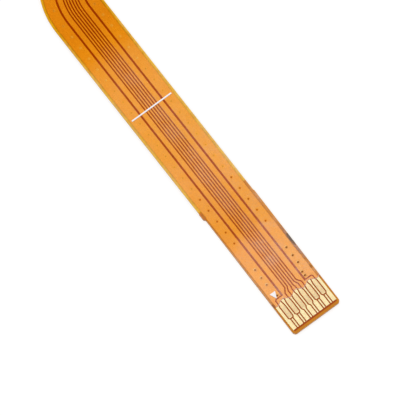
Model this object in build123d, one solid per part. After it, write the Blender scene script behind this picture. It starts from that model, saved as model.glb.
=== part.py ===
from build123d import *
from math import cos, radians, sin
import os

# Flat flex cable: a flexible printed circuit with a stiffened tail of gold contacts at each end.
# It lies on the backs of its two stiffeners, contacts up. Sizes are in millimetres.
# Origin: middle of the near tail's insertion edge, on the plane that the cable lies on.
# +Y runs from that edge up the first leg, +X is to the right of it, and +Z is up.

# Contacts: two staggered rows, with the odd contacts in front and the even ones behind
contact_count = 13
contact_pitch = 0.30
contact_edge_distance = 0.285    # middle of an outer contact to the side of the tail
contact_gap = 0.095             # bare film between two contacts
front_strip_width = 0.105       # the strip that runs forward between two front contacts
rear_neck_width = 0.10         # the neck that runs back between two rear contacts
tip_margin = 0.33               # bare film in front of the contacts
front_row_end = 1.10
rear_row_start = 1.25
rear_row_end = 2.27
closing_gap_distance = 1.135    # the gap that cuts a rear contact off from its front strip
closed_contacts = (2, 4, 10, 12)

# Conductors
signal_count = 5
signal_pitch = 0.205
signal_gap = 0.10
supply_width = 0.375
ground_gap = 0.15
ground_width = 0.8175
side_margin = 0.22              # bare film between the outer copper and the cable's edge
back_plane_reach = 0.11         # the plane on the back runs on past the ends of the contacts

# Fan-out from the contacts to the conductors, as distances from the insertion edge
slot_end = 2.67                 # slots between the contacts of one supply stop here
jog_lengths = {-1: 0.25, 1: 0.18}       # from there to where the left and right ground gaps turn
jog_corner = 0.09
jog_gap = 0.10
fan_out_start = (2.88, 2.93, 2.90)      # signal gaps, from the middle outwards
fan_out_end = (3.03, 3.25, 3.25)
trunk_start = 3.40

# Outline
first_leg = 28.7                # insertion edge to the start of the bend
bend_inside_radius = 2.15
bend_angle = 45.0
second_leg = 20.0               # end of the bend to the far insertion edge
tip_corner_radius = 0.25
tail_drift = 0.084              # the tail's die cut runs off to the right by this much
left_shoulder = 10.74
right_shoulder = 10.40
shoulder_ramp = 0.15

# Layers, from the bottom up
stiffener_length = 11.4
stiffener_thickness = 0.15
adhesive_thickness = 0.05
coverlay_thickness = 0.0275
copper_thickness = 0.020
base_film_thickness = 0.025
plating_thickness = 0.004
print_thickness = 0.010

# The coverlay opens over the contacts with a scalloped edge
opening_distance = 2.54
scallop_height = 0.12           # middle of the edge to the top of a scallop

# Plated holes that join the ground conductors to the back plane, at their plated size
hole_radius = 0.065
hole_sides = 6                  # a drilled hole is drawn with flats, to keep its facets few
hole_edge_distance = 0.485      # middle of a hole to the copper's outer edge
hole_pitch = 1.03
first_trunk_hole = 8.10
tail_holes = (4.20, 4.85, 5.60)
stray_holes = ((1.22, 3.12), (1.22, 3.45), (-1.31, 3.12))

# Print on the coverlay
line_distance = 19.93
line_thickness = 0.11
line_length = 3.57
mark_width = 0.48
mark_length = 0.54
mark_distance = 2.94            # insertion edge to the mark's point
mark_edge_distance = 0.655      # middle of the mark to the cable's edge

# Sizes that follow from those above
outer_contact = (contact_count - 1) / 2 * contact_pitch
tail_half_width = outer_contact + contact_edge_distance
row_pitch = 2 * contact_pitch
front_gap_offset = (front_strip_width + contact_gap) / 2
rear_gap_offset = contact_pitch - (rear_neck_width + contact_gap) / 2
front_contact_width = row_pitch - front_strip_width - 2 * contact_gap
contact_block_half = outer_contact + front_contact_width / 2
signal_edge = signal_count * signal_pitch / 2
ground_gap_offset = signal_edge + signal_gap / 2 + supply_width + ground_gap / 2
copper_half_width = ground_gap_offset + ground_gap / 2 + ground_width
flex_half_width = copper_half_width + side_margin
bend_radius = bend_inside_radius + flex_half_width
bend_length = bend_radius * radians(bend_angle)
cable_length = first_leg + bend_length + second_leg
trunk_end = cable_length - trunk_start
tail_end = max(left_shoulder, right_shoulder) + 2 * shoulder_ramp

adhesive_z = stiffener_thickness
bottom_coverlay_z = adhesive_z + adhesive_thickness
back_plane_z = bottom_coverlay_z + coverlay_thickness
base_film_z = back_plane_z + copper_thickness
copper_z = base_film_z + base_film_thickness
copper_top_z = copper_z + copper_thickness
coverlay_top_z = copper_top_z + coverlay_thickness


def on_cable(offset, distance):
    """Point at an offset to the right of the centreline, at a distance along it."""
    turned = min(max(distance - first_leg, 0) / bend_radius, radians(bend_angle))
    reach = bend_radius - offset
    straight = min(distance, first_leg) - first_leg + max(distance - first_leg - bend_length, 0)
    return Vector(
        bend_radius - reach * cos(turned) + straight * sin(turned),
        first_leg + reach * sin(turned) + straight * cos(turned),
    )


# The far tail is the near one turned about: its own Y runs back from the far insertion edge
near_tail = Location()
far_tail = Pos(*on_cable(0, cable_length)) * Rot(0, 0, 180 - bend_angle)
tails = {"near": near_tail, "far": far_tail}


def line_along(offset, start, end):
    """Straight, arc and straight that follow the cable at an offset from its centreline."""
    bend = [on_cable(offset, first_leg + bend_length * part) for part in (0, 0.5, 1)]
    return [
        Line(on_cable(offset, start), bend[0]),
        ThreePointArc(*bend),
        Line(bend[2], on_cable(offset, end)),
    ]


def band(left, right, start, end):
    """The stretch of the cable between two offsets and two distances."""
    edges = line_along(left, start, end) + line_along(right, start, end)
    edges += [Line(on_cable(left, d), on_cable(right, d)) for d in (start, end)]
    return make_face(edges)


def block(left, right, start, end):
    """Rectangle in a tail's own frame."""
    return make_face(Polyline((left, start), (right, start), (right, end), (left, end), close=True))


def on_both_tails(face):
    return [tail * face for tail in tails.values()]


def contact_x(number):
    return (number - (contact_count + 1) / 2) * contact_pitch


def tail_outline():
    """Cut outline of one tail, up to where the flex has its full width."""
    outline = make_face(Polyline(
        (-tail_half_width, 0),
        (tail_half_width, 0),
        (tail_half_width + tail_drift, right_shoulder),
        (flex_half_width, right_shoulder + shoulder_ramp),
        (flex_half_width, tail_end),
        (-flex_half_width, tail_end),
        (-flex_half_width, left_shoulder + shoulder_ramp),
        (-tail_half_width + tail_drift, left_shoulder),
        close=True,
    ))
    return fillet(outline.vertices().group_by(Axis.Y)[0], tip_corner_radius)


def cable_outline():
    trunk = band(-flex_half_width, flex_half_width, tail_end, cable_length - tail_end)
    return trunk + on_both_tails(tail_outline())


def copper_sheet(tip):
    """Outline of a copper layer before its gaps are etched, from a distance off the insertion edge."""
    contacts = block(-contact_block_half, contact_block_half, tip, opening_distance)
    trunk = band(-copper_half_width, copper_half_width, opening_distance,
                 cable_length - opening_distance)
    return trunk + on_both_tails(contacts)


def tail_opening():
    """Where the coverlay leaves the contacts bare, up to its scalloped edge."""
    scallops = int(flex_half_width / row_pitch) + 1
    edge = []
    for i in range(-scallops, scallops + 1):
        height = scallop_height if i % 2 == 0 else -scallop_height
        edge.append(ThreePointArc(
            ((i - 0.5) * row_pitch, opening_distance),
            (i * row_pitch, opening_distance + height),
            ((i + 0.5) * row_pitch, opening_distance),
        ))
    start, end = edge[0] @ 0, edge[-1] @ 1
    return make_face(edge + [Polyline(start, (start.X, -row_pitch), (end.X, -row_pitch), end)])


def contact_gap_line(index):
    """Gap between a contact and the next one, from the tip to just under the coverlay."""
    side = -1 if index % 2 else 1
    at_coverlay = contact_x(index + 0.5)
    rear_contact = at_coverlay - side * contact_pitch / 2
    front = rear_contact + side * front_gap_offset
    rear = rear_contact + side * rear_gap_offset
    path = Polyline(
        (front, 0),
        (front, front_row_end),
        (rear, rear_row_start),
        (rear, rear_row_end),
        (at_coverlay, opening_distance),
        (at_coverlay, slot_end),
    )
    return trace(path, contact_gap)


def closing_gap(contact):
    x = contact_x(contact)
    return block(x - front_gap_offset, x + front_gap_offset,
                 closing_gap_distance - contact_gap / 2, closing_gap_distance + contact_gap / 2)


def signal_fan_out(side, step):
    """Gap beside a signal, from the coverlay's edge to its place in the trunk."""
    outer = side * (step + 0.5) * contact_pitch
    inner = side * (step + 0.5) * signal_pitch
    path = Polyline((outer, slot_end), (outer, fan_out_start[step]),
                    (inner, fan_out_end[step]), (inner, trunk_start))
    return trace(path, signal_gap)


def ground_fan_out(side):
    """Gap beside a ground conductor: it jogs outwards to reach the outermost contact."""
    outer = side * (outer_contact - contact_pitch / 2)
    inner = side * ground_gap_offset
    jog_distance = slot_end + jog_lengths[side]
    jog = Polyline(
        (outer, slot_end),
        (outer, jog_distance - jog_corner),
        (outer - side * jog_corner, jog_distance),
        (inner, jog_distance),
    )
    straight = block(inner - ground_gap / 2, inner + ground_gap / 2,
                     jog_distance - jog_gap / 2, trunk_start)
    return straight + trace(jog, jog_gap)


def trunk_gaps():
    """The long gaps between conductors, from one fan-out to the other."""
    middles = [(i * signal_pitch - signal_edge, signal_gap) for i in range(signal_count + 1)]
    middles += [(side * ground_gap_offset, ground_gap) for side in (-1, 1)]
    return [band(x - width / 2, x + width / 2, trunk_start, trunk_end) for x, width in middles]


def tail_gaps():
    """Everything that is etched out of the copper of one tail."""
    gaps = [contact_gap_line(index) for index in range(1, contact_count)]
    gaps += [closing_gap(contact) for contact in closed_contacts]
    for side in (-1, 1):
        gaps.append(ground_fan_out(side))
        gaps += [signal_fan_out(side, step) for step in range(len(fan_out_start))]
    return gaps


def hole_places():
    """Middles of the plated holes in the left and the right ground conductor."""
    offset = copper_half_width - hole_edge_distance
    count = int((cable_length - 2 * first_trunk_hole) / hole_pitch) + 1
    places = {-1: [], 1: []}
    for side in places:
        places[side] += [on_cable(side * offset, first_trunk_hole + i * hole_pitch)
                         for i in range(count)]
        for tail in tails.values():
            turned = side if tail is near_tail else -side
            spots = [(turned * offset, distance) for distance in tail_holes]
            spots += [spot for spot in stray_holes if spot[0] * turned > 0]
            places[side] += [(tail * Pos(*spot)).position for spot in spots]
    return places


def hole_shapes(places):
    return [Pos(place.X, place.Y) * RegularPolygon(hole_radius, hole_sides) for place in places]


def layer(face, z, thickness):
    return extrude(Pos(0, 0, z) * face, thickness, dir=(0, 0, 1))


def face_at(faces, point):
    """The one face of a layer that a point lies in."""
    return next(face for face in faces if face.is_inside(point))


def write(name, shape):
    export_step(shape, f"parts/{name}.step")
    print(name, round(shape.volume, 5))


os.makedirs("parts", exist_ok=True)
outline = cable_outline()
sheet = copper_sheet(tip_margin)
back_sheet = copper_sheet(tip_margin - back_plane_reach)
long_gaps = trunk_gaps()
copper = (sheet - long_gaps - [tail * gap for tail in tails.values() for gap in tail_gaps()]).faces()
opening = tail_opening()
covered = outline - on_both_tails(opening)
places = hole_places()

# Films. Each coverlay's adhesive closes the margin outside the copper, and the top one's the long gaps
write("base_film", layer(outline - hole_shapes(places[-1] + places[1]),
                         base_film_z, base_film_thickness))
write("top_coverlay", layer(covered, copper_top_z, coverlay_thickness)
      + layer((covered - sheet) + long_gaps, copper_z, copper_thickness))
write("bottom_coverlay", layer(outline, bottom_coverlay_z, coverlay_thickness)
      + layer(outline - back_sheet, back_plane_z, copper_thickness))
write("back_ground_plane", layer(back_sheet, back_plane_z, copper_thickness))

# Conductors
middle = first_leg / 2
for side, name in ((-1, "left"), (1, "right")):
    ground = face_at(copper, on_cable(side * (ground_gap_offset + copper_half_width) / 2, middle))
    supply = face_at(copper, on_cable(side * (ground_gap_offset + signal_edge) / 2, middle))
    ground = Sketch() + ground - hole_shapes(places[side])
    write(f"ground_conductor_{name}", layer(ground, copper_z, copper_thickness))
    write(f"supply_conductor_{name}", layer(supply, copper_z, copper_thickness))
for i in range(signal_count):
    signal = face_at(copper, on_cable((i + 0.5) * signal_pitch - signal_edge, middle))
    write(f"signal_conductor_{i + 1}", layer(signal, copper_z, copper_thickness))

# Contacts, stiffeners and adhesive of each tail
stiffener = near_tail * outline & block(-2 * flex_half_width, 2 * flex_half_width, 0, stiffener_length)
front_row_middle = (tip_margin + front_row_end) / 2
rear_row_middle = (rear_row_start + rear_row_end) / 2
for end, tail in tails.items():
    bare = (Sketch() + copper & tail * opening).faces()
    for number in range(1, contact_count + 1):
        distance = front_row_middle if number % 2 else rear_row_middle
        pad = face_at(bare, (tail * Pos(contact_x(number), distance)).position)
        write(f"{end}_contact_{number:02d}", layer(pad, copper_top_z, plating_thickness))
    stubs = Sketch() + [face_at(bare, (tail * Pos(contact_x(number), front_row_middle)).position)
                        for number in closed_contacts]
    write(f"{end}_stub_strips", layer(stubs, copper_z, copper_thickness))
    write(f"{end}_stub_plating", layer(stubs, copper_top_z, plating_thickness))
    write(f"{end}_stiffener_adhesive", layer(tail * stiffener, adhesive_z, adhesive_thickness))
    write(f"{end}_stiffener", layer(tail * stiffener, 0, stiffener_thickness))

# Print
line = block(-line_length / 2, line_length / 2,
             line_distance - line_thickness / 2, line_distance + line_thickness / 2)
write("fold_line_print", layer(line, coverlay_top_z, print_thickness))
mark_x = mark_edge_distance - flex_half_width
mark = make_face(Polyline(
    (mark_x, mark_distance),
    (mark_x + mark_width / 2, mark_distance + mark_length),
    (mark_x - mark_width / 2, mark_distance + mark_length),
    close=True,
))
write("contact_one_mark", layer(mark, coverlay_top_z, print_thickness))
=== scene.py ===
import bpy
import bmesh
import math
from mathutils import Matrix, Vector


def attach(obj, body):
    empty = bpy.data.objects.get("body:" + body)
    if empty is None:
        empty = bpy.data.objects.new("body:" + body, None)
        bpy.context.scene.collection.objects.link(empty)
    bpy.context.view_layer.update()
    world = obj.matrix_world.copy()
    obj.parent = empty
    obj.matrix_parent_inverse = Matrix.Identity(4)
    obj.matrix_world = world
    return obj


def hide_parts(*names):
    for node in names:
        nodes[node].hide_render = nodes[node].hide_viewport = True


# Flat flex cable on a white table: amber films over etched copper, gold contacts at the tails.
# Blender's units are metres here, so 0.001 is a millimetre.
mm = 0.001
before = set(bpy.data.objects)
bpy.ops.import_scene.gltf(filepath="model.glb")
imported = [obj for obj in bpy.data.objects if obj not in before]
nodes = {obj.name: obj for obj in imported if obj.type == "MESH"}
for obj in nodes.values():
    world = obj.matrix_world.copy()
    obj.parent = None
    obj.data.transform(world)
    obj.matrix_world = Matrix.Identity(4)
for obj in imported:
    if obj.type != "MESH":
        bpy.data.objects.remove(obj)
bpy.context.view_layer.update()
print("stage: frame loaded,", len(nodes), "nodes")


# Shader helpers

def addNode(tree, kind, values=None, **links):
    node = tree.nodes.new(kind)
    for key, value in (values or {}).items():
        if hasattr(node, key):
            setattr(node, key, value)
        else:
            node.inputs[key].default_value = value
    for key, source in links.items():
        tree.links.new(source, node.inputs[key.replace("_", " ")])
    return node


def maths(tree, operation, first, second=None, third=None, clamp=False):
    node = tree.nodes.new("ShaderNodeMath")
    node.operation = operation
    node.use_clamp = clamp
    for index, value in enumerate((first, second, third)):
        if value is None:
            continue
        if isinstance(value, (int, float)):
            node.inputs[index].default_value = value
        else:
            tree.links.new(value, node.inputs[index])
    return node.outputs[0]


def mixColours(tree, factor, first, second):
    node = tree.nodes.new("ShaderNodeMix")
    node.data_type = "RGBA"
    for index, value in ((0, factor), (6, first), (7, second)):
        if isinstance(value, (int, float)):
            node.inputs[index].default_value = value
        elif isinstance(value, tuple):
            node.inputs[index].default_value = (*value, 1)
        else:
            tree.links.new(value, node.inputs[index])
    return node.outputs[2]


def ramp(tree, value, low, high, outLow=0.0, outHigh=1.0):
    node = tree.nodes.new("ShaderNodeMapRange")
    node.interpolation_type = "SMOOTHSTEP"
    tree.links.new(value, node.inputs["Value"])
    for name, number in (("From Min", low), ("From Max", high), ("To Min", outLow), ("To Max", outHigh)):
        node.inputs[name].default_value = number
    return node.outputs["Result"]


def pastEdge(tree, value, edge, softness):      # 0 before an edge given in mm, 1 past it
    return ramp(tree, value, (edge - softness) * mm, (edge + softness) * mm)


def lengthOf(tree, vector):
    node = addNode(tree, "ShaderNodeVectorMath", {"operation": "LENGTH"})
    tree.links.new(vector, node.inputs[0])
    return node.outputs["Value"]


def mixShaders(tree, factor, first, second):
    node = tree.nodes.new("ShaderNodeMixShader")
    for socket, source in zip(node.inputs, (factor, first.outputs[0], second.outputs[0])):
        tree.links.new(source, socket)
    return node


def newGroup(name, inputs, outputs):
    group = bpy.data.node_groups.new(name, "ShaderNodeTree")
    for label, value in inputs.items():
        socket = group.interface.new_socket(label, in_out="INPUT", socket_type="NodeSocketFloat")
        socket.default_value = value
    for label, kind in outputs.items():
        group.interface.new_socket(label, in_out="OUTPUT", socket_type=kind)
    return group, group.nodes.new("NodeGroupInput"), group.nodes.new("NodeGroupOutput")


def useGroup(tree, group, **values):
    node = tree.nodes.new("ShaderNodeGroup")
    node.node_tree = group
    for label, value in values.items():
        node.inputs[label.replace("_", " ")].default_value = value
    return node


texture = {
    "stretch": 0.06,                     # how little the rolled lines change along the cable
    "speck": (0.06, 0.16),               # a speck's core and rim, in cells
}
roughSpread = {
    # the part of a pattern that counts, and how much smoother and rougher it makes a surface
    "film": (0.2, 0.8, 0.06, 0.08),
    "plastic": (0.2, 0.8, 0.05, 0.08),
    "metal": (0.25, 0.75, 0.08, 0.10),
    "fill": (0.3, 0.7, 0.10, 0.10),
}


def rolledGrain():  # long fine lines along the rolling direction, and broad soft blotches
    group, inside, outside = newGroup(
        "Rolled Grain",
        {"Line Size": 0.03, "Blotch Size": 0.6},
        {"Lines": "NodeSocketFloat", "Blotches": "NodeSocketFloat"},
    )
    place = group.nodes.new("ShaderNodeTexCoord").outputs["Object"]
    stretch = addNode(group, "ShaderNodeMapping", {"Scale": (1, texture["stretch"], 1)}, Vector=place)
    lineScale = maths(group, "DIVIDE", 1 / mm, inside.outputs["Line Size"])
    lines = addNode(group, "ShaderNodeTexNoise", {"Detail": 2, "Roughness": 0.6},
                    Vector=stretch.outputs[0], Scale=lineScale)
    blotchScale = maths(group, "DIVIDE", 1 / mm, inside.outputs["Blotch Size"])
    blotches = addNode(group, "ShaderNodeTexNoise", {"Detail": 3, "Roughness": 0.55},
                       Vector=place, Scale=blotchScale)
    group.links.new(lines.outputs["Fac"], outside.inputs["Lines"])
    group.links.new(blotches.outputs["Fac"], outside.inputs["Blotches"])
    return group


def cutWalls():  # 1 on the walls that the die or the etch leaves, 0 on flat faces
    group, _, outside = newGroup("Cut Walls", {}, {"Wall": "NodeSocketFloat"})
    normal = group.nodes.new("ShaderNodeNewGeometry").outputs["True Normal"]
    upright = group.nodes.new("ShaderNodeSeparateXYZ")
    group.links.new(normal, upright.inputs[0])
    flatness = maths(group, "ABSOLUTE", upright.outputs["Z"])
    wall = maths(group, "SUBTRACT", 1.0, flatness, clamp=True)
    group.links.new(wall, outside.inputs["Wall"])
    return group


def surfaceSpecks():  # small dust specks and pits
    group, inside, outside = newGroup(
        "Surface Specks", {"Speck Size": 0.12, "Amount": 0.5}, {"Specks": "NodeSocketFloat"})
    place = group.nodes.new("ShaderNodeTexCoord").outputs["Object"]
    scale = maths(group, "DIVIDE", 1 / mm, inside.outputs["Speck Size"])
    cells = addNode(group, "ShaderNodeTexVoronoi", {"feature": "F1"}, Vector=place, Scale=scale)
    near = ramp(group, cells.outputs["Distance"], *texture["speck"], 1.0, 0.0)
    rare = addNode(group, "ShaderNodeSeparateColor", {}, Color=cells.outputs["Color"])
    chosen = maths(group, "LESS_THAN", rare.outputs[0], inside.outputs["Amount"])
    specks = maths(group, "MULTIPLY", near, chosen)
    group.links.new(specks, outside.inputs["Specks"])
    return group


cablePath = {                # the centreline that part.py bends the cable along, in mm
    "firstLeg": 28.7, "bendRadius": 4.275, "bendAngle": 45.0, "length": 52.0576,
}


def cableCoordinates(tree, place):   # metres along the cable, across it to the right, and from its end
    leg, radius = cablePath["firstLeg"] * mm, cablePath["bendRadius"] * mm
    angle = math.radians(cablePath["bendAngle"])
    straight = addNode(tree, "ShaderNodeSeparateXYZ", {}, Vector=place)

    centred = addNode(tree, "ShaderNodeMapping", {"Location": (-radius, -leg, 0)}, Vector=place)
    bend = addNode(tree, "ShaderNodeSeparateXYZ", {}, Vector=centred.outputs[0])
    flat = addNode(tree, "ShaderNodeCombineXYZ", {}, X=bend.outputs["X"], Y=bend.outputs["Y"])
    turned = maths(tree, "ARCTAN2", bend.outputs["Y"], maths(tree, "MULTIPLY", bend.outputs["X"], -1.0))
    bendAlong = maths(tree, "ADD", maths(tree, "MULTIPLY", turned, radius), leg)
    bendAcross = maths(tree, "SUBTRACT", radius, lengthOf(tree, flat.outputs[0]))

    start = (radius - radius * math.cos(angle), leg + radius * math.sin(angle))
    location = (-(start[0] * math.cos(angle) - start[1] * math.sin(angle)),
                leg + radius * angle - (start[0] * math.sin(angle) + start[1] * math.cos(angle)), 0)
    turnedLeg = addNode(tree, "ShaderNodeMapping", {"Rotation": (0, 0, angle), "Location": location},
                        Vector=place)
    second = addNode(tree, "ShaderNodeSeparateXYZ", {}, Vector=turnedLeg.outputs[0])

    afterLeg = maths(tree, "GREATER_THAN", straight.outputs["Y"], leg)
    afterBend = maths(tree, "GREATER_THAN", second.outputs["Y"], leg + radius * angle)

    def choose(first, middle, last):
        inBend = maths(tree, "ADD", first, maths(
            tree, "MULTIPLY", afterLeg, maths(tree, "SUBTRACT", middle, first)))
        return maths(tree, "ADD", inBend, maths(
            tree, "MULTIPLY", afterBend, maths(tree, "SUBTRACT", last, inBend)))

    along = choose(straight.outputs["Y"], bendAlong, second.outputs["Y"])
    across = choose(straight.outputs["X"], bendAcross, second.outputs["X"])
    fromEnd = maths(tree, "MINIMUM", along, maths(tree, "SUBTRACT", cablePath["length"] * mm, along))
    return along, across, fromEnd


def placeOnCable():                  # the same coordinates as a group, for the opaque materials
    labels = ("Along", "Across", "From End")
    group, _, outside = newGroup("Place On Cable", {}, {label: "NodeSocketFloat" for label in labels})
    place = group.nodes.new("ShaderNodeTexCoord").outputs["Object"]
    for label, value in zip(labels, cableCoordinates(group, place)):
        group.links.new(value, outside.inputs[label])
    return group


cableGroup = placeOnCable()
grainGroup = rolledGrain()
wallGroup = cutWalls()
speckGroup = surfaceSpecks()


def newMaterial(name):
    material = bpy.data.materials.new(name)
    material.use_nodes = True
    material.node_tree.nodes.clear()
    return material, material.node_tree


def finishMaterial(tree, shader):
    output = tree.nodes.new("ShaderNodeOutputMaterial")
    tree.links.new(shader, output.inputs["Surface"])


def grainOf(tree, face):
    return useGroup(tree, grainGroup, Line_Size=face["lineSize"], Blotch_Size=face["blotchSize"])


def dented(tree, height, face):                     # the normal of a face with shallow dents
    values = {"Strength": face["dentStrength"], "Distance": face["dent"] * mm}
    return addNode(tree, "ShaderNodeBump", values, Height=height).outputs["Normal"]


def unevenRough(tree, pattern, middle, finish):     # a roughness that a pattern varies
    low, high, smoother, rougher = roughSpread[finish]
    return ramp(tree, pattern, low, high, middle - smoother, middle + rougher)


def dress(piece, material):
    piece.data.materials.clear()
    piece.data.materials.append(material)


# Plated holes through the ground conductors, where part.py puts them, in mm

platedHoles = {
    "offset": 1.42, "pitch": 1.03, "first": 8.10,        # the two rows, across and along the cable
    "tail": ((1.42, 4.20), (1.42, 4.85), (1.42, 5.60), (-1.42, 4.20), (-1.42, 4.85), (-1.42, 5.60),
             (1.22, 3.12), (1.22, 3.45), (-1.31, 3.12)),
    "strayUntil": 4.0,                                   # nearer the end, a hole stands off the rows
}
rowCount = int((cablePath["length"] - 2 * platedHoles["first"]) / platedHoles["pitch"]) + 1


def tailHoleKind(across, along):
    return "leftTail" if across < 0 and along > platedHoles["strayUntil"] else "rightTail"


# Films

topFilm = {
    "tints": (                           # mm along the cable, and what one crossing lets through there, paler towards the tails where that paints a sheen
        (0.0, (0.968, 0.828, 0.46)), (5.0, (0.970, 0.830, 0.46)), (7.1, (0.958, 0.79, 0.38)),
        (8.9, (0.914, 0.735, 0.235)), (10.8, (0.914, 0.742, 0.27)), (13.5, (0.925, 0.765, 0.33)),
        (17.5, (0.910, 0.755, 0.285)), (21.9, (0.910, 0.748, 0.289)), (23.8, (0.892, 0.717, 0.238)),
        (25.7, (0.860, 0.650, 0.122)), (27.6, (0.828, 0.602, 0.104)), (31.0, (0.830, 0.605, 0.110)),
        (36.0, (0.912, 0.735, 0.246)),
    ),
    # the haze is partly the film's own satin face and partly a painted sheen, strongest near the tails
    "hazeAndSheen": ((4.2, 0.056), (5.5, 0.074), (7.1, 0.060), (8.9, 0.022), (13.5, 0.032), (17.5, 0.028),
             (21.9, 0.024), (23.8, 0.014), (26.0, 0.0)),
    "hazeAndSheenColour": (0.94, 0.90, 0.84),
    "roughness": 0.28,
    "bands": (
        # mm across to a band's middle, on one side or both, its half widths, and its haze and painted sheen
        # along the cable
        {"middle": 0.12, "bothSides": False, "full": 0.40, "none": 0.60,               # the signals
         "hazeAndSheen": ((22.5, 0.024), (26.5, 0.0))},
        {"middle": 1.0125, "bothSides": True, "full": 0.045, "none": 0.11,             # the wide gaps
         "hazeAndSheen": ((0.0, 0.0), (2.9, 0.055), (5.5, 0.055), (7.5, 0.015), (9.5, 0.0))},
        {"middle": 2.125, "bothSides": False, "full": 0.825, "none": 1.525,            # the right side, whose paler tint and extra haze paint a sheen
         "hazeAndSheen": ((0.0, 0.0), (5.5, 0.020), (8.9, 0.050), (12.6, 0.028), (15.5, 0.030), (18.5, 0.010),
                  (20.5, 0.0)),
         "tint": (0.98, 0.86, 0.36),
         "share": ((0.0, 0.0), (5.0, 0.15), (8.9, 0.26), (14.0, 0.22), (18.2, 0.15), (22.0, 0.0))},
        {"middle": 2.125, "bothSides": True, "full": 0.095, "none": 0.195,             # the bare margins
         "hazeAndSheen": ((26.0, 0.05), (28.5, 0.0)),
         "tint": (0.97, 0.835, 0.21), "share": ((0.0, 0.7), (60.0, 0.7))},
    ),
    "dimples": {"clear": 0.09, "fade": 0.19},            # mm from a hole's middle that no haze or painted sheen reaches
    "wavyEdge": {                        # a painted highlight along the coverlay's wavy edge: mm, and where its fringe starts and ends in half widths
        "distance": 2.545, "wave": 0.12, "pitch": 1.2, "halfWidth": 0.056, "jagged": 0.16,
        "fringe": (0.3, 1.5), "share": 0.6, "colour": (0.80, 0.48, 0.43)},
    "darkPatches": (
        # where along and across, half sizes in mm, and how much of the film the colour hides
        {"along": 5.60, "across": 2.05, "halfLength": 1.80, "halfWidth": 0.190, "share": 0.54,
         "colour": (0.52, 0.33, 0.27)},
        {"along": 5.95, "across": 2.06, "halfLength": 0.50, "halfWidth": 0.115, "share": 0.78,
         "colour": (0.13, 0.11, 0.10)},
        {"along": 3.38, "across": 1.98, "halfLength": 0.13, "halfWidth": 0.10, "share": 0.8,
         "colour": (0.46, 0.15, 0.0)},
        {"along": 2.62, "across": -2.03, "halfLength": 0.20, "halfWidth": 0.12, "share": 0.7,
         "colour": (0.34, 0.10, 0.01)},
        {"along": 11.05, "across": -2.03, "halfLength": 0.46, "halfWidth": 0.17, "share": 0.52,
         "colour": (0.70, 0.21, 0.01)},
    ),
}
bottomFilm = {
    "tints": ((0.0, (0.985, 0.78, 0.16)), (52.0, (0.975, 0.77, 0.155))),
    "hazeAndSheen": ((0.0, 0.05), (30.0, 0.03)),
    "hazeAndSheenColour": (0.92, 0.85, 0.70),
    "roughness": 0.30,
    "bands": (),
}
filmTexture = {
    "fineScale": 6500, "cloudScale": 900, "raggedScale": 5200,   # noise cells a metre
    "fine": (0.3, 0.7), "cloud": (0.35, 0.65),           # the part of each noise that varies the haze
    "lively": (0.65, 1.35),                              # and how little and how much it makes of it
    "ragged": 0.7, "darkPatch": (0.45, 1.25),               # a dark patch's raggedness, core and rim
    "lineSize": 0.05, "blotchSize": 1.1,                 # mm, of the rolled lines and the blotches
    "dent": 0.02, "dentStrength": 0.35,                  # mm deep
}
filmGloss = {"ior": 1.6, "headOn": 0.058, "strength": 1.06}      # the gloss that grows towards grazing
cutEdge = {"colour": (0.36, 0.15, 0.03), "share": 0.7}
rampReach = 60.0                                                 # mm that the ramps along the cable span
fullColour = 5.0                                                 # so a thin mark keeps its own colour


def alongRamp(tree, along, stops):       # a colour or share that changes along the cable
    node = tree.nodes.new("ShaderNodeValToRGB")
    node.color_ramp.interpolation = "EASE"
    elements = node.color_ramp.elements
    for index, (distance, value) in enumerate(stops):
        stop = elements[index] if index < 2 else elements.new(distance / rampReach)
        stop.position = distance / rampReach
        stop.color = (*value, 1) if isinstance(value, tuple) else (value, value, value, 1)
    tree.links.new(maths(tree, "MULTIPLY", along, 1 / (rampReach * mm)), node.inputs[0])
    return node.outputs["Color"]


def bandMask(tree, across, band):        # 1 along the middle of a band, 0 beyond its reach
    if band["bothSides"]:
        across = maths(tree, "ABSOLUTE", across)
    away = maths(tree, "ABSOLUTE", maths(tree, "SUBTRACT", across, band["middle"] * mm))
    return ramp(tree, away, band["full"] * mm, band["none"] * mm, 1.0, 0.0)


def darkPatchMask(tree, place, darkPatch):     # a soft ragged patch near the tail, 1 in its middle
    halfLength, halfWidth = darkPatch["halfLength"], darkPatch["halfWidth"]
    fit = addNode(tree, "ShaderNodeMapping", {
        "Scale": (1 / (halfWidth * mm), 1 / (halfLength * mm), 0),
        "Location": (-darkPatch["across"] / halfWidth, -darkPatch["along"] / halfLength, 0)}, Vector=place)
    ragged = addNode(tree, "ShaderNodeTexNoise", {"Scale": filmTexture["raggedScale"], "Detail": 4},
                     Vector=place)
    rag = maths(tree, "MULTIPLY", maths(tree, "SUBTRACT", ragged.outputs["Fac"], 0.5),
                filmTexture["ragged"])
    distance = maths(tree, "ADD", lengthOf(tree, fit.outputs[0]), rag)
    return ramp(tree, distance, *filmTexture["darkPatch"], 1.0, 0.0)


def wavyEdgeHighlightMask(tree, fromEnd, across, edge, noise):    # the painted highlight along the wavy edge, made ragged by noise
    turns = maths(tree, "MULTIPLY", across, math.tau / (edge["pitch"] * mm))
    wave = maths(tree, "MULTIPLY", maths(tree, "COSINE", turns), edge["wave"] * mm)
    beyond = maths(tree, "SUBTRACT", maths(tree, "SUBTRACT", fromEnd, wave), edge["distance"] * mm)
    jagged = maths(tree, "MULTIPLY", maths(tree, "SUBTRACT", noise, 0.5), edge["jagged"] * mm)
    starts, ends = (part * edge["halfWidth"] * mm for part in edge["fringe"])
    return ramp(tree, maths(tree, "ADD", maths(tree, "ABSOLUTE", beyond), jagged), starts, ends,
                edge["share"], 0.0)


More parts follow.
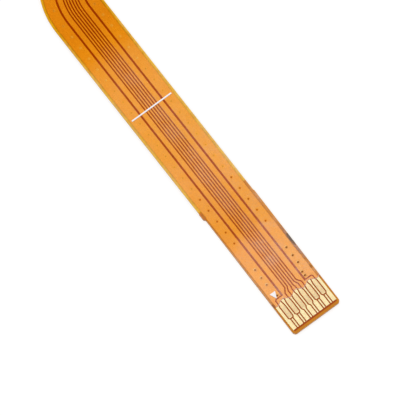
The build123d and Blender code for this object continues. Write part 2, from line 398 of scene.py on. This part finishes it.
def dimpleMask(tree, place, along, across, dimple):      # 0 near a hole's middle, where the painted sheen is left off as painted dimple shade, 1 elsewhere
    first, pitch = platedHoles["first"] * mm, platedHoles["pitch"] * mm
    clear, fade = dimple["clear"] * mm, dimple["fade"] * mm
    turns = maths(tree, "DIVIDE", maths(tree, "SUBTRACT", along, first), pitch)
    lengthwise = maths(tree, "MULTIPLY", maths(tree, "PINGPONG", turns, 0.5), pitch)
    crosswise = maths(tree, "SUBTRACT", maths(tree, "ABSOLUTE", across), platedHoles["offset"] * mm)
    apart = addNode(tree, "ShaderNodeCombineXYZ", {}, X=lengthwise, Y=crosswise)
    mask = ramp(tree, lengthOf(tree, apart.outputs[0]), clear, fade)
    halfRow = (rowCount - 1) * pitch / 2
    fromRowMiddle = maths(tree, "ABSOLUTE", maths(tree, "SUBTRACT", along, first + halfRow))
    pastRow = maths(tree, "GREATER_THAN", fromRowMiddle, halfRow + pitch / 2)
    mask = maths(tree, "MAXIMUM", mask, pastRow)
    for offset, distance in platedHoles["tail"]:
        if tailHoleKind(offset, distance) == "rightTail":
            fit = addNode(tree, "ShaderNodeMapping", {
                "Scale": (1, 1, 0), "Location": (-offset * mm, -distance * mm, 0)}, Vector=place)
            mask = maths(tree, "MULTIPLY", mask, ramp(
                tree, lengthOf(tree, fit.outputs[0]), clear, fade))
    return mask


def filmTint(tree, film, along, masks):          # what one crossing of the film lets through
    tint = alongRamp(tree, along, film["tints"])
    for band, mask in zip(film["bands"], masks):
        if "tint" in band:
            share = maths(tree, "MULTIPLY", mask, alongRamp(tree, along, band["share"]))
            tint = mixColours(tree, share, tint, band["tint"])
    return tint


def filmHazeAndSheen(tree, film, place, along, across, masks, fine):   # how much the film's own face shows: partly its haze, partly a painted sheen
    hazeAndSheenShare = alongRamp(tree, along, film["hazeAndSheen"])
    for band, mask in zip(film["bands"], masks):
        more = maths(tree, "MULTIPLY", mask, alongRamp(tree, along, band["hazeAndSheen"]))
        hazeAndSheenShare = maths(tree, "ADD", hazeAndSheenShare, more)
    cloud = addNode(tree, "ShaderNodeTexNoise", {"Scale": filmTexture["cloudScale"], "Detail": 3},
                    Vector=place)
    cloudy = ramp(tree, cloud.outputs["Fac"], *filmTexture["cloud"], *filmTexture["lively"])
    lively = maths(tree, "MULTIPLY", cloudy, ramp(
        tree, fine, *filmTexture["fine"], *filmTexture["lively"]))
    hazeAndSheenShare = maths(tree, "MULTIPLY", hazeAndSheenShare, lively)
    if "dimples" in film:
        hazeAndSheenShare = maths(tree, "MULTIPLY", hazeAndSheenShare, dimpleMask(tree, place, along, across, film["dimples"]))
    return hazeAndSheenShare


def filmMarks(tree, film, place, across, fromEnd, fine, colour):   # how much the painted edge highlight and the dark patches cover the film, and its colour
    edge = film["wavyEdge"]
    highlightAndPatches = wavyEdgeHighlightMask(tree, fromEnd, across, edge, fine)
    colour = mixColours(tree, maths(tree, "MULTIPLY", highlightAndPatches, fullColour, clamp=True), colour,
                        edge["colour"])
    for darkPatch in film["darkPatches"]:
        spot = darkPatchMask(tree, place, darkPatch)
        colour = mixColours(tree, maths(tree, "MULTIPLY", spot, fullColour, clamp=True), colour,
                            darkPatch["colour"])
        highlightAndPatches = maths(tree, "MAXIMUM", highlightAndPatches, maths(tree, "MULTIPLY", spot, darkPatch["share"]))
    return highlightAndPatches, colour


def filmMaterial(name, film):
    material, tree = newMaterial(name)
    place = tree.nodes.new("ShaderNodeTexCoord").outputs["Object"]
    geometry = tree.nodes.new("ShaderNodeNewGeometry")
    along, across, fromEnd = cableCoordinates(tree, place)
    masks = [bandMask(tree, across, band) for band in film["bands"]]
    passing = addNode(tree, "ShaderNodeBsdfTransparent", {}, Color=filmTint(tree, film, along, masks))
    leaving = addNode(tree, "ShaderNodeBsdfTransparent", {"Color": (1, 1, 1, 1)})
    backfacing = geometry.outputs["Backfacing"]
    clear = mixShaders(tree, backfacing, passing, leaving)       # the tint counts once a crossing

    grain = grainOf(tree, filmTexture)
    wall = useGroup(tree, wallGroup).outputs["Wall"]
    fine = addNode(tree, "ShaderNodeTexNoise", {"Scale": filmTexture["fineScale"], "Detail": 2},
                   Vector=place).outputs["Fac"]
    colour = mixColours(tree, wall, film["hazeAndSheenColour"], cutEdge["colour"])

    hazeAndSheenShare = filmHazeAndSheen(tree, film, place, along, across, masks, fine)
    fresnel = addNode(tree, "ShaderNodeFresnel", {"IOR": filmGloss["ior"]})
    gloss = maths(tree, "MULTIPLY_ADD", fresnel.outputs[0], filmGloss["strength"],
                  -filmGloss["headOn"] * filmGloss["strength"], clamp=True)
    upright = addNode(tree, "ShaderNodeSeparateXYZ", {}, Vector=geometry.outputs["True Normal"])
    flat = maths(tree, "ABSOLUTE", upright.outputs["Z"])
    cut = maths(tree, "MULTIPLY", maths(tree, "SUBTRACT", 1.0, flat, clamp=True), cutEdge["share"])
    share = maths(tree, "MAXIMUM", maths(tree, "ADD", hazeAndSheenShare, gloss, clamp=True), cut)
    if "wavyEdge" in film:
        highlightAndPatches, colour = filmMarks(tree, film, place, across, fromEnd, fine, colour)
        share = maths(tree, "MAXIMUM", share, highlightAndPatches)

    rough = unevenRough(tree, grain.outputs["Lines"], film["roughness"], "film")
    body = addNode(tree, "ShaderNodeBsdfPrincipled", {"IOR": filmGloss["ior"]},
                   Base_Color=colour, Roughness=rough,
                   Normal=dented(tree, grain.outputs["Blotches"], filmTexture))
    front = maths(tree, "SUBTRACT", 1.0, backfacing)
    mixed = mixShaders(tree, maths(tree, "MULTIPLY", share, front), clear, body)
    finishMaterial(tree, mixed.outputs[0])
    return material


baseFilm = {
    "overFoil": (0.42, 0.085, 0.004),        # the bare film where the back foil darkens it
    "covered": (0.51, 0.083, 0.002),         # there under the coverlay
    "beforePads": (0.385, 0.062, 0.001),     # and between the pads' ends and the foil's
    "atTip": (0.60, 0.215, 0.008),           # bare over the brown stiffener
    "overTail": (0.72, 0.345, 0.10),         # there under the coverlay
    "alone": (0.92, 0.69, 0.34),             # where light comes through it
    "edge": (0.42, 0.13, 0.02),
    # where each is passed and how softly, in mm: the first across, the others from the insertion edge
    "foilSide": (1.905, 0.02), "foilStart": (0.20, 0.02), "padStart": (0.34, 0.04),
    "coverStart": (2.6, 0.05), "stiffenerEnd": (11.45, 0.05),
    "mottled": (0.35, 0.7, 0.0, 0.25),       # the blotches that count, and how far they take it to the edge
    "roughness": 0.36, "lineSize": 0.05, "blotchSize": 0.5, "specular": 0.12,
}


def baseFilmMaterial():
    material, tree = newMaterial("baseFilm")
    where = useGroup(tree, cableGroup)
    fromEnd = where.outputs["From End"]
    grain = grainOf(tree, baseFilm)
    wall = useGroup(tree, wallGroup).outputs["Wall"]
    outside = pastEdge(tree, maths(tree, "ABSOLUTE", where.outputs["Across"]), *baseFilm["foilSide"])
    beforeFoil = maths(tree, "SUBTRACT", 1.0, pastEdge(tree, fromEnd, *baseFilm["foilStart"]))
    margin = maths(tree, "MAXIMUM", outside, beforeFoil)
    covered = pastEdge(tree, fromEnd, *baseFilm["coverStart"])
    free = pastEdge(tree, fromEnd, *baseFilm["stiffenerEnd"])
    bare = mixColours(tree, covered, baseFilm["atTip"], baseFilm["overTail"])
    bare = mixColours(tree, free, bare, baseFilm["alone"])
    cloud = ramp(tree, grain.outputs["Blotches"], *baseFilm["mottled"])
    bare = mixColours(tree, cloud, bare, baseFilm["edge"])
    amongPads = pastEdge(tree, fromEnd, *baseFilm["padStart"])
    over = mixColours(tree, amongPads, baseFilm["beforePads"], baseFilm["overFoil"])
    over = mixColours(tree, covered, over, baseFilm["covered"])
    colour = mixColours(tree, margin, over, bare)
    colour = mixColours(tree, wall, colour, baseFilm["edge"])
    rough = unevenRough(tree, grain.outputs["Lines"], baseFilm["roughness"], "film")
    shader = addNode(tree, "ShaderNodeBsdfPrincipled",
                     {"IOR": filmGloss["ior"], "Specular IOR Level": baseFilm["specular"]},
                     Base_Color=colour, Roughness=rough,
                     Normal=dented(tree, grain.outputs["Blotches"], filmTexture))
    finishMaterial(tree, shader.outputs[0])
    return material


filmFit = {"bondLine": 0.0015, "weld": 0.0001}   # mm: the glue line that keeps two faces apart


def filmPiece(name, node, material):
    mesh = nodes[node].data.copy()
    mesh.name = name
    shape = bmesh.new()
    shape.from_mesh(mesh)
    bmesh.ops.remove_doubles(shape, verts=shape.verts, dist=filmFit["weld"] * mm)
    shape.normal_update()
    for vertex in shape.verts:
        facing = sum(face.normal.z * face.calc_area() for face in vertex.link_faces)
        vertex.co.z -= math.copysign(filmFit["bondLine"] * mm, facing)
    shape.to_mesh(mesh)
    shape.free()
    piece = bpy.data.objects.new(name, mesh)
    bpy.context.scene.collection.objects.link(piece)
    dress(piece, material)
    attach(piece, "root")
    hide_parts(node)
    return piece


filmPiece("topCoverlaySheet", "top_coverlay", filmMaterial("topCoverlayFilm", topFilm))
filmPiece("baseFilmSheet", "base_film", baseFilmMaterial())
filmPiece("bottomCoverlaySheet", "bottom_coverlay", filmMaterial("bottomCoverlayFilm", bottomFilm))
print("stage: films laid")


# Metals

# a metal's wall colour paints shade on the etched walls
copperFoil = {
    "colour": (0.97, 0.57, 0.40), "patch": (0.94, 0.52, 0.36), "wall": (0.40, 0.16, 0.08),
    "roughness": 0.34, "lineSize": 0.05, "blotchSize": 0.12, "streak": 0.5,
}
backFoil = {
    "bonded": (0.14, 0.045, 0.012), "bondedRough": 0.6, "bondedFrom": (0.0, 0.5),
    "lineSize": 0.04, "blotchSize": 0.8,
}
gold = {
    "colour": (0.99, 0.86, 0.49), "patch": (0.90, 0.71, 0.38), "wall": (0.42, 0.20, 0.06),
    "roughness": 0.30, "lineSize": 0.045, "blotchSize": 0.11, "streak": 0.55,
}
rearRowReflection = {                        # a band across the rear row, darker and a little rougher, paler towards its far end, that paints a reflection
    "colour": (0.84, 0.61, 0.31), "patch": (0.69, 0.54, 0.32), "roughness": 0.38,
    "starts": 1.22, "ends": 2.42, "fade": 0.12,
    "lighter": (0.95, 0.72, 0.38), "lighterPatch": (0.79, 0.63, 0.37), "lightest": 2.15,
    "lightestShare": 0.85,
}
metalFace = {"patch": (0.38, 0.66), "dent": 0.002, "dentStrength": 0.5}      # mm deep
goldSpots = {"colour": (0.92, 0.58, 0.40), "size": 0.13, "amount": 0.25, "strength": 0.35}


def metalMaterial(name, metal, paintedReflection=None, spots=None):
    material, tree = newMaterial(name)
    grain = grainOf(tree, metal)
    wall = useGroup(tree, wallGroup).outputs["Wall"]
    streaked = maths(tree, "ADD", grain.outputs["Blotches"], maths(
        tree, "MULTIPLY", maths(tree, "SUBTRACT", grain.outputs["Lines"], 0.5), metal["streak"]))
    patch = ramp(tree, streaked, *metalFace["patch"])
    colour = mixColours(tree, patch, metal["colour"], metal["patch"])
    rough = unevenRough(tree, grain.outputs["Lines"], metal["roughness"], "metal")
    if spots:
        speck = useGroup(tree, speckGroup, Speck_Size=spots["size"], Amount=spots["amount"])
        colour = mixColours(tree, maths(tree, "MULTIPLY", speck.outputs["Specks"], spots["strength"]),
                            colour, spots["colour"])
    if paintedReflection:
        # the rear row's painted reflection
        fromEnd = useGroup(tree, cableGroup).outputs["From End"]
        begun = pastEdge(tree, fromEnd, paintedReflection["starts"], paintedReflection["fade"])
        over = pastEdge(tree, fromEnd, paintedReflection["ends"], paintedReflection["fade"])
        reflectionBand = maths(tree, "SUBTRACT", begun, over)
        reflectedTone = mixColours(tree, patch, paintedReflection["colour"], paintedReflection["patch"])
        palerTone = mixColours(tree, patch, paintedReflection["lighter"], paintedReflection["lighterPatch"])
        palerShare = ramp(tree, fromEnd, paintedReflection["starts"] * mm, paintedReflection["lightest"] * mm,
                       0.0, paintedReflection["lightestShare"])
        colour = mixColours(tree, reflectionBand, colour, mixColours(tree, palerShare, reflectedTone, palerTone))
        reflectionRough = maths(tree, "MULTIPLY", reflectionBand, paintedReflection["roughness"] - metal["roughness"])
        rough = maths(tree, "ADD", rough, reflectionRough)
    # painted shade on the etched walls
    colour = mixColours(tree, wall, colour, metal["wall"])
    shader = addNode(tree, "ShaderNodeBsdfPrincipled", {"Metallic": 1.0},
                     Base_Color=colour, Roughness=rough,
                     Normal=dented(tree, grain.outputs["Lines"], metalFace))
    finishMaterial(tree, shader.outputs[0])
    return material


def backPlaneMaterial():
    material, tree = newMaterial("backPlaneFoil")
    grain = grainOf(tree, backFoil)
    normal = tree.nodes.new("ShaderNodeNewGeometry").outputs["True Normal"]
    height = addNode(tree, "ShaderNodeSeparateXYZ", {}, Vector=normal).outputs["Z"]
    bonded = ramp(tree, height, *backFoil["bondedFrom"])
    copper = mixColours(tree, grain.outputs["Blotches"], copperFoil["colour"], copperFoil["patch"])
    colour = mixColours(tree, bonded, copper, backFoil["bonded"])
    rough = ramp(tree, bonded, 0.0, 1.0, copperFoil["roughness"], backFoil["bondedRough"])
    shader = addNode(tree, "ShaderNodeBsdfPrincipled", {"Metallic": 1.0},
                     Base_Color=colour, Roughness=rough,
                     Normal=dented(tree, grain.outputs["Lines"], metalFace))
    finishMaterial(tree, shader.outputs[0])
    return material


copperMaterial = metalMaterial("copperFoil", copperFoil)
frontMaterial = metalMaterial("frontGold", gold, spots=goldSpots)
rearMaterial = metalMaterial("rearGold", gold, paintedReflection=rearRowReflection, spots=goldSpots)
for name, node in nodes.items():
    if "conductor" in name or name.endswith("stub_strips"):
        dress(node, copperMaterial)
    elif name.endswith("stub_plating"):
        dress(node, frontMaterial)
    elif "_contact_" in name:
        dress(node, frontMaterial if int(name[-2:]) % 2 else rearMaterial)
dress(nodes["back_ground_plane"], backPlaneMaterial())
print("stage: copper and gold dressed")


# Filled, plated holes that join the ground conductors to the back foil, dimpled under the film

holeFill = {
    "crest": 0.006, "foilTop": 0.2925, "sides": 12,      # mm
    "roughness": 0.4, "lineSize": 0.02, "blotchSize": 0.05, "nearAxis": 0.001,
    # the glint is a painted highlight on the rim's far side
    "rim": (0.97, 0.57, 0.40), "glint": (1.0, 0.84, 0.74),
}
holeKinds = {
    # radius and rim in mm, the pit's colour, partly the filled hole's own and partly its dimple's painted
    # shade, pale at the bend as a painted glint, and how strongly the rim's far side gets a painted glint
    "rightTail": (0.075, 0.135, (0.18, 0.04, 0.0), 1.0),
    "leftTail": (0.070, 0.140, (0.45, 0.17, 0.04), 1.0),
    "trunk": (0.080, 0.110, (0.52, 0.13, 0.0), 0.0),
    "middle": (0.060, 0.090, (0.78, 0.46, 0.22), 0.0),
    "bend": (0.065, 0.100, (0.95, 0.67, 0.58), 0.0),
}
middleFrom = 12.6                     # mm from an end where the holes turn faint
bendHoles = (23.5, 28.6)              # mm along the cable where the pits are painted pale, as glints


def pointOnCable(across, along):
    leg, radius = cablePath["firstLeg"], cablePath["bendRadius"]
    full = math.radians(cablePath["bendAngle"])
    turned = min(max(along - leg, 0) / radius, full)
    straight = min(along, leg) - leg + max(along - leg - radius * full, 0)
    return Vector((radius - (radius - across) * math.cos(turned) + straight * math.sin(turned),
                   leg + (radius - across) * math.sin(turned) + straight * math.cos(turned), 0))


def holePlaces():                     # each hole's place and kind
    length = cablePath["length"]
    places = []
    for side in (-1, 1):
        for i in range(rowCount):
            along = platedHoles["first"] + i * platedHoles["pitch"]
            kind = "middle" if middleFrom < along < length - middleFrom else "trunk"
            kind = "bend" if bendHoles[0] < along < bendHoles[1] else kind
            places.append((side * platedHoles["offset"], along, kind))
    for across, along in platedHoles["tail"]:
        kind = tailHoleKind(across, along)
        places += [(across, along, kind), (-across, length - along, kind)]
    return [(pointOnCable(across, along), kind) for across, along, kind in places]


def holeFillMaterial():
    material, tree = newMaterial("holeFill")
    grain = grainOf(tree, holeFill)
    tone = addNode(tree, "ShaderNodeAttribute", {"attribute_name": "tone"}).outputs["Color"]
    rough = unevenRough(tree, grain.outputs["Blotches"], holeFill["roughness"], "fill")
    shader = addNode(tree, "ShaderNodeBsdfPrincipled", {"Metallic": 1.0},
                     Base_Color=tone, Roughness=rough,
                     Normal=dented(tree, grain.outputs["Blotches"], metalFace))
    finishMaterial(tree, shader.outputs[0])
    return material


def spinHoleFill(shape, tone, place, kind):
    radius, rim, pitColour, glint = holeKinds[kind]
    # mm from the middle, mm over the foil, how much of the pit's colour and of the painted glint
    profile = ((0.0, -0.010, 1.0, 0.0), (0.6 * radius, -0.008, 1.0, 0.0), (radius, 0.002, 0.75, 0.0),
               (0.5 * (radius + rim), holeFill["crest"], 0.2, 0.8), (rim, 0.0005, 0.0, 0.9),
               (rim, -0.004, 0.0, 0.0), (0.9 * radius, -0.018, 0.0, 0.0), (0.0, -0.018, 0.0, 0.0))
    middle = Vector((place.x, place.y, holeFill["foilTop"])) * mm
    before = len(shape.verts)
    points = []
    for distance, height, dark, shine in profile:
        point = shape.verts.new(middle + Vector((distance, 0, height)) * mm)
        colour = Vector(holeFill["rim"]).lerp(Vector(pitColour), dark)
        point[tone] = (*colour, shine)                   # the last channel carries the painted glint
        points.append(point)
    edges = [shape.edges.new(pair) for pair in zip(points, points[1:])]
    bmesh.ops.spin(shape, geom=points + edges, cent=middle, axis=(0, 0, 1), dvec=(0, 0, 0),
                   angle=math.tau, steps=holeFill["sides"], use_merge=True)
    shape.verts.ensure_lookup_table()
    for vertex in shape.verts[before:]:                  # the rim's far side takes a painted glint where it would mirror the lamp
        outwards = vertex.co - middle
        facing = max(outwards.y / max(outwards.xy.length, holeFill["nearAxis"] * mm), 0)
        *colour, shine = vertex[tone]
        vertex[tone] = (*Vector(colour).lerp(Vector(holeFill["glint"]), shine * glint * facing), 1)


def makeHoleFills():
    shape = bmesh.new()
    tone = shape.verts.layers.float_color.new("tone")
    for place, kind in holePlaces():
        spinHoleFill(shape, tone, place, kind)
    bmesh.ops.remove_doubles(shape, verts=shape.verts, dist=filmFit["weld"] * mm)
    bmesh.ops.recalc_face_normals(shape, faces=shape.faces)
    shape.verts.index_update()
    count = len(shape.verts)                             # the spin leaves its faces in no fixed order
    shape.faces.sort(key=lambda face: face.verts[0].index * count + face.verts[1].index)
    for face in shape.faces:
        face.smooth = True
    mesh = bpy.data.meshes.new("holeFills")
    shape.to_mesh(mesh)
    shape.free()
    fills = bpy.data.objects.new("holeFills", mesh)
    bpy.context.scene.collection.objects.link(fills)
    dress(fills, holeFillMaterial())
    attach(fills, "root")


makeHoleFills()
print("stage: filled holes made")


# Stiffeners, adhesive and print

stiffenerFilm = {
    "colour": (0.72, 0.36, 0.08), "other": (0.60, 0.25, 0.05), "roughness": 0.42,
    "lineSize": 0.06, "blotchSize": 0.7,
}
bondingGlue = {
    "colour": (0.80, 0.40, 0.12), "other": (0.80, 0.40, 0.12), "roughness": 0.5,
    "lineSize": 0.06, "blotchSize": 0.7,
}
whiteInk = {
    "colour": (0.97, 0.95, 0.98), "other": (0.90, 0.85, 0.88), "roughness": 0.6,
    "lineSize": 0.06, "blotchSize": 0.12,
}
plasticFace = {
    "ior": 1.6, "patch": (0.35, 0.7, 0.0, 0.6),
    "speckSize": 0.2, "speckAmount": 0.08, "speckShare": 0.35, "speckColour": (0.1, 0.06, 0.03),
    "dent": 0.01, "dentStrength": 0.5,                   # mm deep
}


def plasticMaterial(name, plastic):
    material, tree = newMaterial(name)
    grain = grainOf(tree, plastic)
    specks = useGroup(tree, speckGroup, Speck_Size=plasticFace["speckSize"],
                      Amount=plasticFace["speckAmount"])
    wall = useGroup(tree, wallGroup).outputs["Wall"]
    patch = ramp(tree, grain.outputs["Blotches"], *plasticFace["patch"])
    tone = mixColours(tree, patch, plastic["colour"], plastic["other"])
    tone = mixColours(tree, wall, tone, plastic["other"])
    specked = maths(tree, "MULTIPLY", specks.outputs["Specks"], plasticFace["speckShare"])
    tone = mixColours(tree, specked, tone, plasticFace["speckColour"])
    rough = unevenRough(tree, grain.outputs["Lines"], plastic["roughness"], "plastic")
    shader = addNode(tree, "ShaderNodeBsdfPrincipled", {"IOR": plasticFace["ior"]},
                     Base_Color=tone, Roughness=rough,
                     Normal=dented(tree, grain.outputs["Blotches"], plasticFace))
    finishMaterial(tree, shader.outputs[0])
    return material


stiffenerMaterial = plasticMaterial("stiffenerFilm", stiffenerFilm)
glueMaterial = plasticMaterial("bondingGlue", bondingGlue)
inkMaterial = plasticMaterial("whiteInk", whiteInk)
for end in ("near", "far"):
    dress(nodes[end + "_stiffener"], stiffenerMaterial)
    dress(nodes[end + "_stiffener_adhesive"], glueMaterial)
for name in ("fold_line_print", "contact_one_mark"):
    dress(nodes[name], inkMaterial)
print("stage: stiffeners and print dressed")


# Table, light and camera

table = {"size": 600.0, "drop": 0.002, "colour": (0.36, 0.36, 0.36), "roughness": 0.9, "lift": 0.71}
lamps = (
    # name, place in mm, size in mm, watts
    ("overheadLamp", (-110, 230, 410), 440, 0.50),
    ("sideLamp", (300, -200, 260), 260, 0.10),
)
worldLevel = 0.78
cameraValues = {
    "azimuth": -37.1, "elevation": 74.0,
    "target": (-1.328, 11.379, 0.2965),
    "distance": 837.4, "lens": 1000.0, "clip": (0.01, 10),
}


def makeTable():
    sheet = bmesh.new()
    bmesh.ops.create_grid(sheet, x_segments=1, y_segments=1, size=table["size"] / 2 * mm)
    mesh = bpy.data.meshes.new("tableTop")
    sheet.to_mesh(mesh)
    sheet.free()
    top = bpy.data.objects.new("tableTop", mesh)
    top.location.z = -table["drop"] * mm
    bpy.context.scene.collection.objects.link(top)
    material, tree = newMaterial("tableWhite")
    path = tree.nodes.new("ShaderNodeLightPath")
    seen = maths(tree, "ADD", path.outputs["Is Camera Ray"], path.outputs["Is Glossy Ray"], clamp=True)
    seen = maths(tree, "ADD", seen, path.outputs["Is Transmission Ray"], clamp=True)
    lift = maths(tree, "MULTIPLY", seen, table["lift"])
    shader = addNode(tree, "ShaderNodeBsdfPrincipled",
                     {"Base Color": (*table["colour"], 1), "Roughness": table["roughness"],
                      "Specular IOR Level": 0.0, "Emission Color": (1, 1, 1, 1)},
                     Emission_Strength=lift)
    finishMaterial(tree, shader.outputs[0])
    dress(top, material)


def makeLamps():
    for name, place, size, watts in lamps:
        data = bpy.data.lights.new(name, "AREA")
        data.shape = "DISK"
        data.size = size * mm
        data.energy = watts
        lamp = bpy.data.objects.new(name, data)
        lamp.location = Vector(place) * mm
        lamp.rotation_euler = (-Vector(place)).to_track_quat("-Z", "Y").to_euler()
        lamp.visible_camera = False
        bpy.context.scene.collection.objects.link(lamp)
    world = bpy.data.worlds.new("studioWorld")
    world.use_nodes = True
    tree = world.node_tree
    tree.nodes.clear()
    path = tree.nodes.new("ShaderNodeLightPath")
    level = maths(tree, "MULTIPLY_ADD", path.outputs["Is Camera Ray"], 1.0 - worldLevel, worldLevel)
    light = addNode(tree, "ShaderNodeBackground", {"Color": (1, 1, 1, 1)}, Strength=level)
    output = tree.nodes.new("ShaderNodeOutputWorld")
    tree.links.new(light.outputs[0], output.inputs["Surface"])
    bpy.context.scene.world = world


def makeCamera():
    data = bpy.data.cameras.new("productCamera")
    data.lens = cameraValues["lens"]
    data.clip_start, data.clip_end = cameraValues["clip"]
    camera = bpy.data.objects.new("productCamera", data)
    turn = math.radians(cameraValues["azimuth"])
    rise = math.radians(cameraValues["elevation"])
    back = Vector((math.sin(turn) * math.cos(rise), -math.cos(turn) * math.cos(rise), math.sin(rise)))
    camera.location = (Vector(cameraValues["target"]) + back * cameraValues["distance"]) * mm
    camera.rotation_euler = (-back).to_track_quat("-Z", "Y").to_euler()
    bpy.context.scene.collection.objects.link(camera)
    bpy.context.scene.camera = camera


makeTable()
makeLamps()
makeCamera()
bpy.context.scene.view_settings.view_transform = "Standard"
print("stage: table, lamps and camera set")
